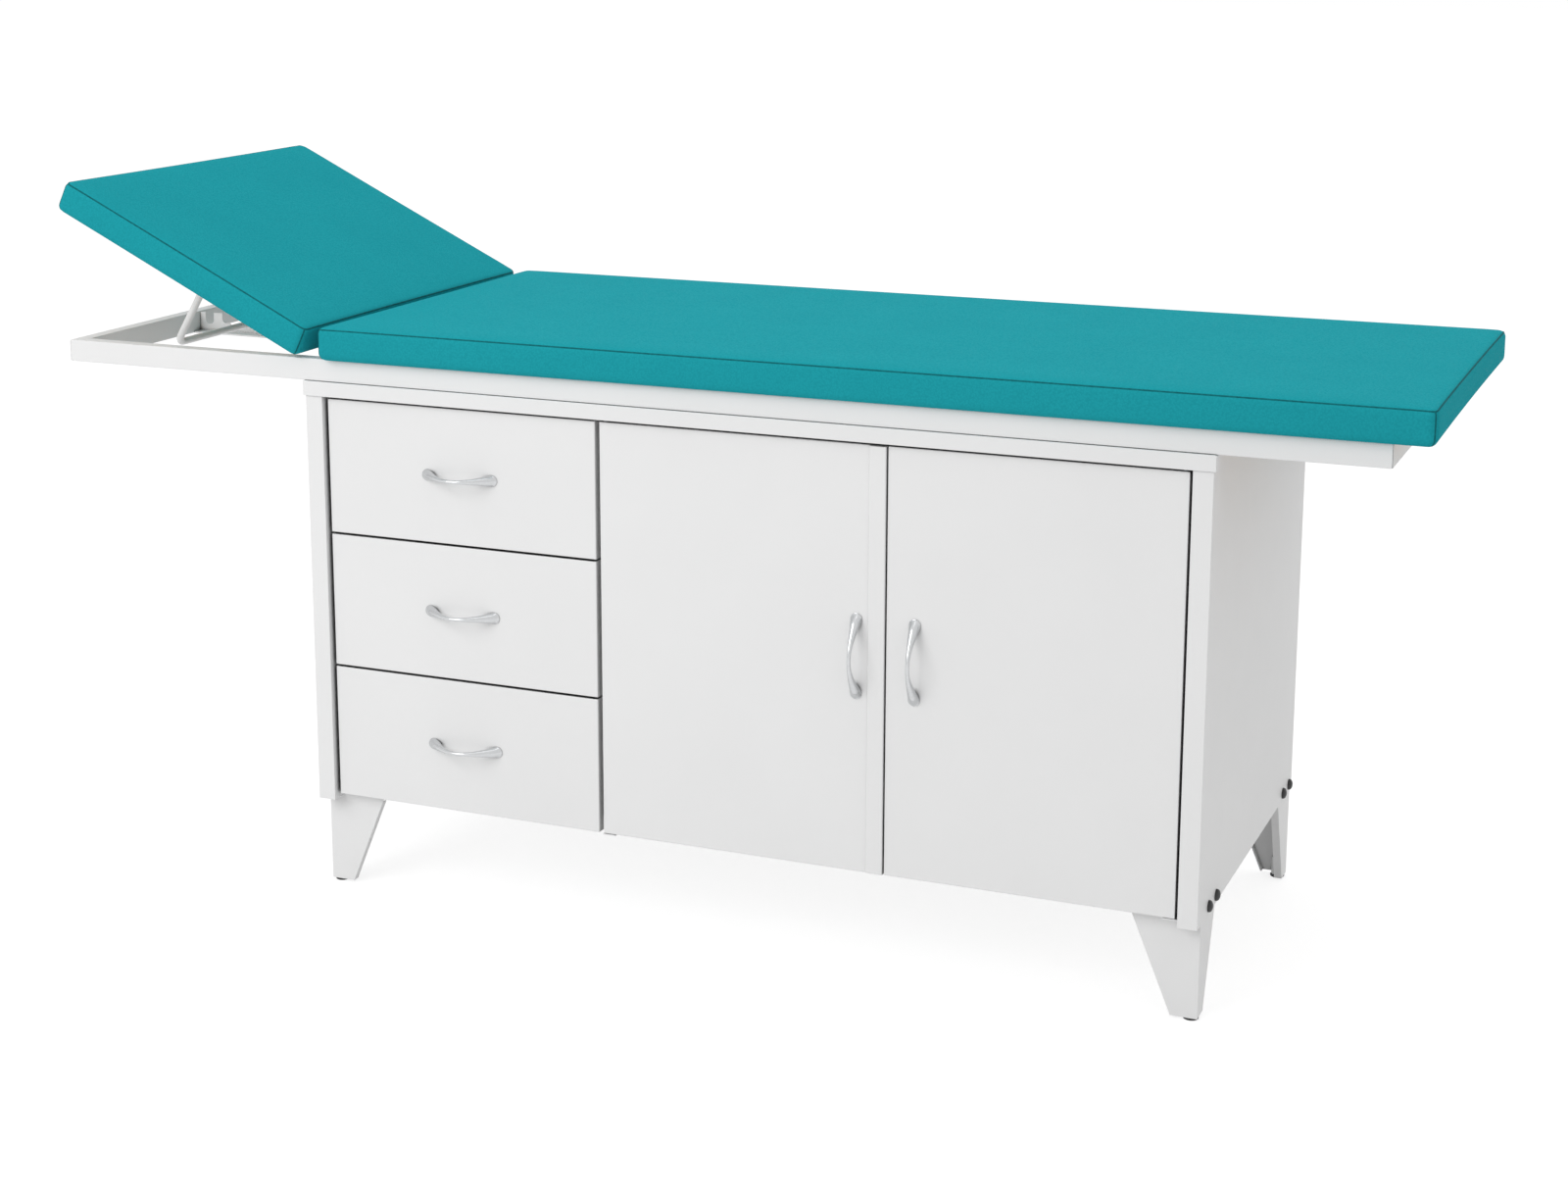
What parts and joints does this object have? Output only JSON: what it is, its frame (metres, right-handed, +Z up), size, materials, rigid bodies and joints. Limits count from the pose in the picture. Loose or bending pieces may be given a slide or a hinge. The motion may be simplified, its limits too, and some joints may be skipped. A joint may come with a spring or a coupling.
{
  "type": "examination table",
  "caption": "Examination table on a sheet-metal cupboard with drawers and doors, with a padded top on a tube frame and a head section that tilts on a prop bail.",
  "frame": {"origin": "on the floor, under the middle of the table's bounding box", "axes": "+X along the table to the foot end, +Y to the rear, away from the drawers and doors, +Z up"},
  "size_m": [1.863, 0.6044, 0.9683],
  "materials": {
    "white_paint": "smooth white powder coat",
    "teal_leatherette": "fine-grained leatherette over foam",
    "satin_chrome": "satin chrome",
    "zinc_steel": "zinc plated",
    "black_plastic": "black moulded plastic",
    "plywood": "plain plywood"
  },
  "bodies": {
    "cabinet": {"side_panel_left": "white_paint", "side_panel_right": "white_paint", "cabinet_top": "white_paint", "cabinet_back": "white_paint", "cabinet_floor": "white_paint", "divider_panel": "white_paint", "cupboard_shelf": "white_paint", "leg_front_left": "white_paint", "leg_front_right": "white_paint", "leg_rear_left": "white_paint", "leg_rear_right": "white_paint", "levelling_foot_front_left": "black_plastic", "levelling_foot_front_right": "black_plastic", "levelling_foot_rear_left": "black_plastic", "levelling_foot_rear_right": "black_plastic", "leg_bolts_front_left": "black_plastic", "leg_bolts_front_right": "black_plastic", "leg_bolts_rear_left": "black_plastic", "leg_bolts_rear_right": "black_plastic", "drawer_runners_left": "zinc_steel", "drawer_runners_right": "zinc_steel", "door_upper_pivot_left": "zinc_steel", "door_upper_pivot_right": "zinc_steel", "door_lower_pivot_left": "white_paint", "door_lower_pivot_right": "white_paint", "door_catch": "black_plastic", "frame_rail_front": "white_paint", "frame_rail_rear": "white_paint", "frame_rail_head": "white_paint", "frame_rail_foot": "white_paint", "frame_cross_rail": "white_paint", "rack_angle": "white_paint", "main_board": "plywood", "main_cushion": "teal_leatherette", "head_hinge_pin_front": "zinc_steel", "head_hinge_pin_rear": "zinc_steel"},
    "drawer_bottom": {"drawer_bottom_front": "white_paint", "drawer_bottom_box": "white_paint", "drawer_bottom_base": "white_paint", "drawer_bottom_handle": "satin_chrome"},
    "drawer_middle": {"drawer_middle_front": "white_paint", "drawer_middle_box": "white_paint", "drawer_middle_base": "white_paint", "drawer_middle_handle": "satin_chrome"},
    "drawer_top": {"drawer_top_front": "white_paint", "drawer_top_box": "white_paint", "drawer_top_base": "white_paint", "drawer_top_handle": "satin_chrome"},
    "left_door": {"door_left": "white_paint", "door_strip": "white_paint", "door_left_handle": "satin_chrome"},
    "right_door": {"door_right": "white_paint", "door_right_handle": "satin_chrome"},
    "head_section": {"head_board": "plywood", "head_cushion": "teal_leatherette", "head_hinge_bracket_front": "zinc_steel", "head_hinge_bracket_rear": "zinc_steel", "prop_bracket_front": "zinc_steel", "prop_bracket_rear": "zinc_steel"},
    "prop": {"prop_bail": "white_paint"}
  },
  "joints": [
    {"name": "drawer_bottom_slide", "type": "slide", "parent": "cabinet", "child": "drawer_bottom", "axis": [0, -1, 0], "range_m": [0, 0.4]},
    {"name": "drawer_middle_slide", "type": "slide", "parent": "cabinet", "child": "drawer_middle", "axis": [0, -1, 0], "range_m": [0, 0.4]},
    {"name": "drawer_top_slide", "type": "slide", "parent": "cabinet", "child": "drawer_top", "axis": [0, -1, 0], "range_m": [0, 0.4]},
    {"name": "left_door_swing", "type": "hinge", "parent": "cabinet", "child": "left_door", "pos_m": [-0.1116, -0.26575, 0.4135], "axis": [0, 0, 1], "range_deg": [-100, 0]},
    {"name": "right_door_swing", "type": "hinge", "parent": "cabinet", "child": "right_door", "pos_m": [0.642, -0.26575, 0.4135], "axis": [0, 0, 1], "range_deg": [0, 100]},
    {"name": "head_tilt", "type": "hinge", "parent": "cabinet", "child": "head_section", "pos_m": [-0.5555, 0.00225, 0.733], "axis": [0, 1, 0], "range_deg": [-25.7, 4.3]},
    {"name": "prop_swing", "type": "hinge", "parent": "head_section", "child": "prop", "pos_m": [-0.74723, 0.00225, 0.82372], "axis": [0, 1, 0], "range_deg": [-15.5, 90]}
  ],
  "couplings": [
    {"joint": "prop_swing", "follows": "head_tilt", "ratio": -3.48}
  ]
}
